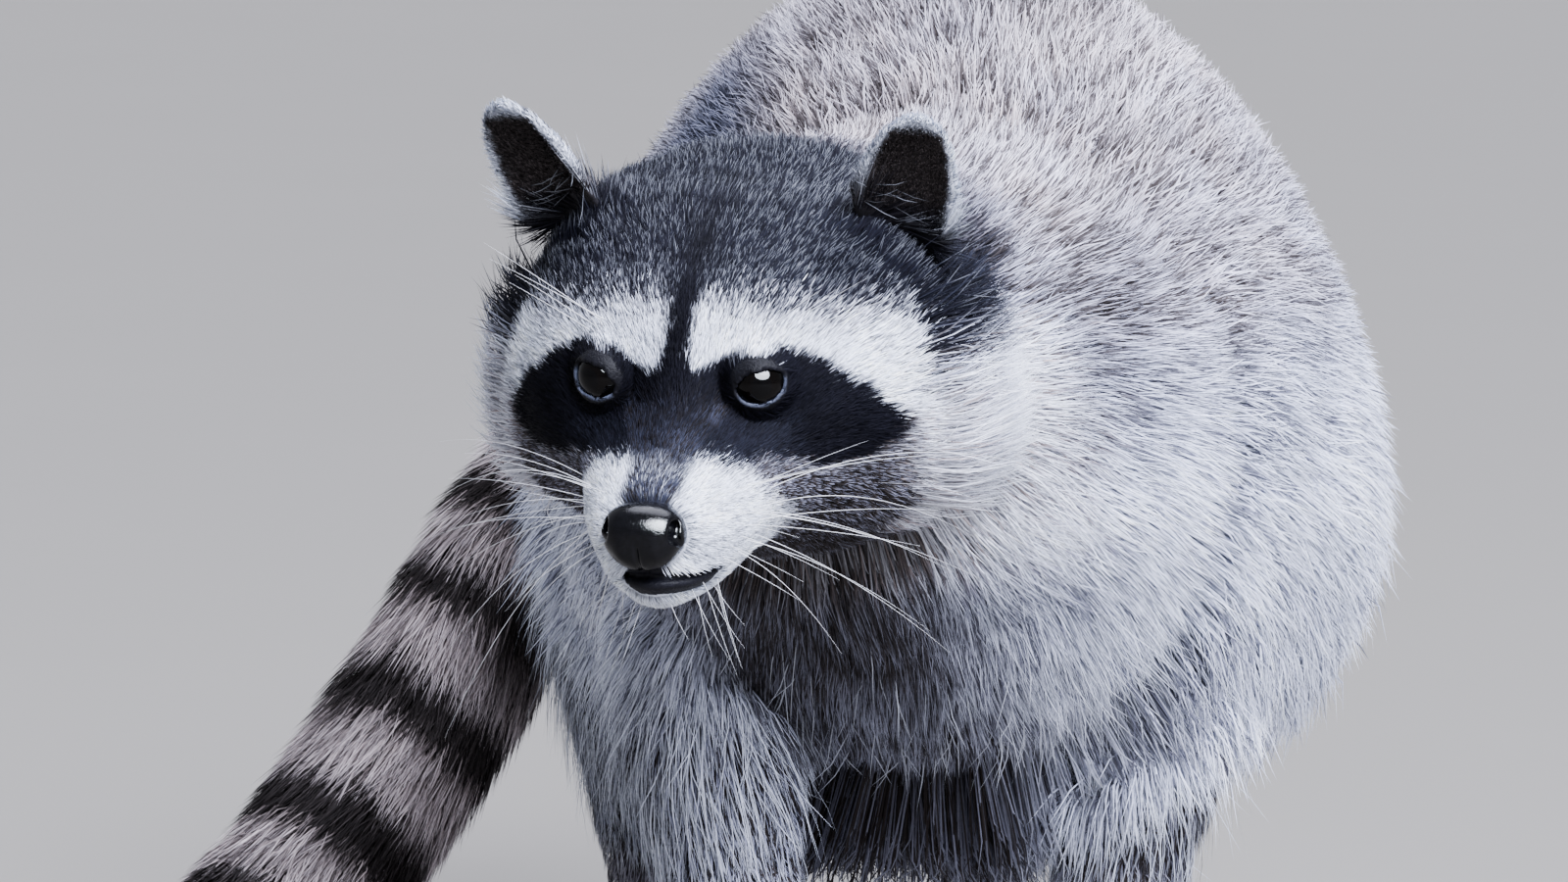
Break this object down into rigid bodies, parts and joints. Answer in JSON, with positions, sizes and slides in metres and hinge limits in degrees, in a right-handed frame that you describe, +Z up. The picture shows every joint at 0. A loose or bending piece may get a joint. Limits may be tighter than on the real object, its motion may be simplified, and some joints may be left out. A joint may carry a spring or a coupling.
{
  "type": "raccoon figure",
  "caption": "Life-size standing raccoon with its head turned to its right and its ringed tail swept to one side and laid on the ground.",
  "frame": {"origin": "on the ground under the middle of the whole animal's bounding box", "axes": "+Z up, +Y from the head towards the hindquarters, +X towards the animal's left side"},
  "size_m": [0.3996, 0.5492, 0.3681],
  "materials": {
    "grey_fur": "long grizzled grey coat",
    "face_fur": "short grizzled fur with a black mask and white brows",
    "pale_fur": "very short white fur",
    "tail_fur": "dense fur ringed black and pale brown",
    "leg_fur": "short dark grey fur",
    "ear_fur": "short fur, dark inside with a white rim",
    "nose_leather": "moist black leather",
    "eye_gloss": "wet gloss",
    "claw_horn": "smooth horn"
  },
  "bodies": {
    "root": {"belly": "grey_fur", "chest": "grey_fur", "claw_forepaw_left_1": "claw_horn", "claw_forepaw_left_2": "claw_horn", "claw_forepaw_left_3": "claw_horn", "claw_forepaw_left_4": "claw_horn", "claw_forepaw_left_5": "claw_horn", "claw_forepaw_right_1": "claw_horn", "claw_forepaw_right_2": "claw_horn", "claw_forepaw_right_3": "claw_horn", "claw_forepaw_right_4": "claw_horn", "claw_forepaw_right_5": "claw_horn", "claw_hindfoot_left_1": "claw_horn", "claw_hindfoot_left_2": "claw_horn", "claw_hindfoot_left_3": "claw_horn", "claw_hindfoot_left_4": "claw_horn", "claw_hindfoot_left_5": "claw_horn", "claw_hindfoot_right_1": "claw_horn", "claw_hindfoot_right_2": "claw_horn", "claw_hindfoot_right_3": "claw_horn", "claw_hindfoot_right_4": "claw_horn", "claw_hindfoot_right_5": "claw_horn", "ear_left": "ear_fur", "ear_right": "ear_fur", "eye_left": "eye_gloss", "eye_right": "eye_gloss", "forearm_left": "leg_fur", "forearm_right": "leg_fur", "foreleg_left": "leg_fur", "foreleg_right": "leg_fur", "forepaw_left": "leg_fur", "forepaw_right": "leg_fur", "head": "face_fur", "hindfoot_left": "leg_fur", "hindfoot_right": "leg_fur", "jaw": "pale_fur", "muzzle": "pale_fur", "neck": "grey_fur", "nose": "nose_leather", "rump": "grey_fur", "shank_left": "leg_fur", "shank_right": "leg_fur", "tail_middle": "tail_fur", "tail_root": "tail_fur", "tail_tip": "tail_fur", "thigh_left": "leg_fur", "thigh_right": "leg_fur"}
  },
  "joints": []
}
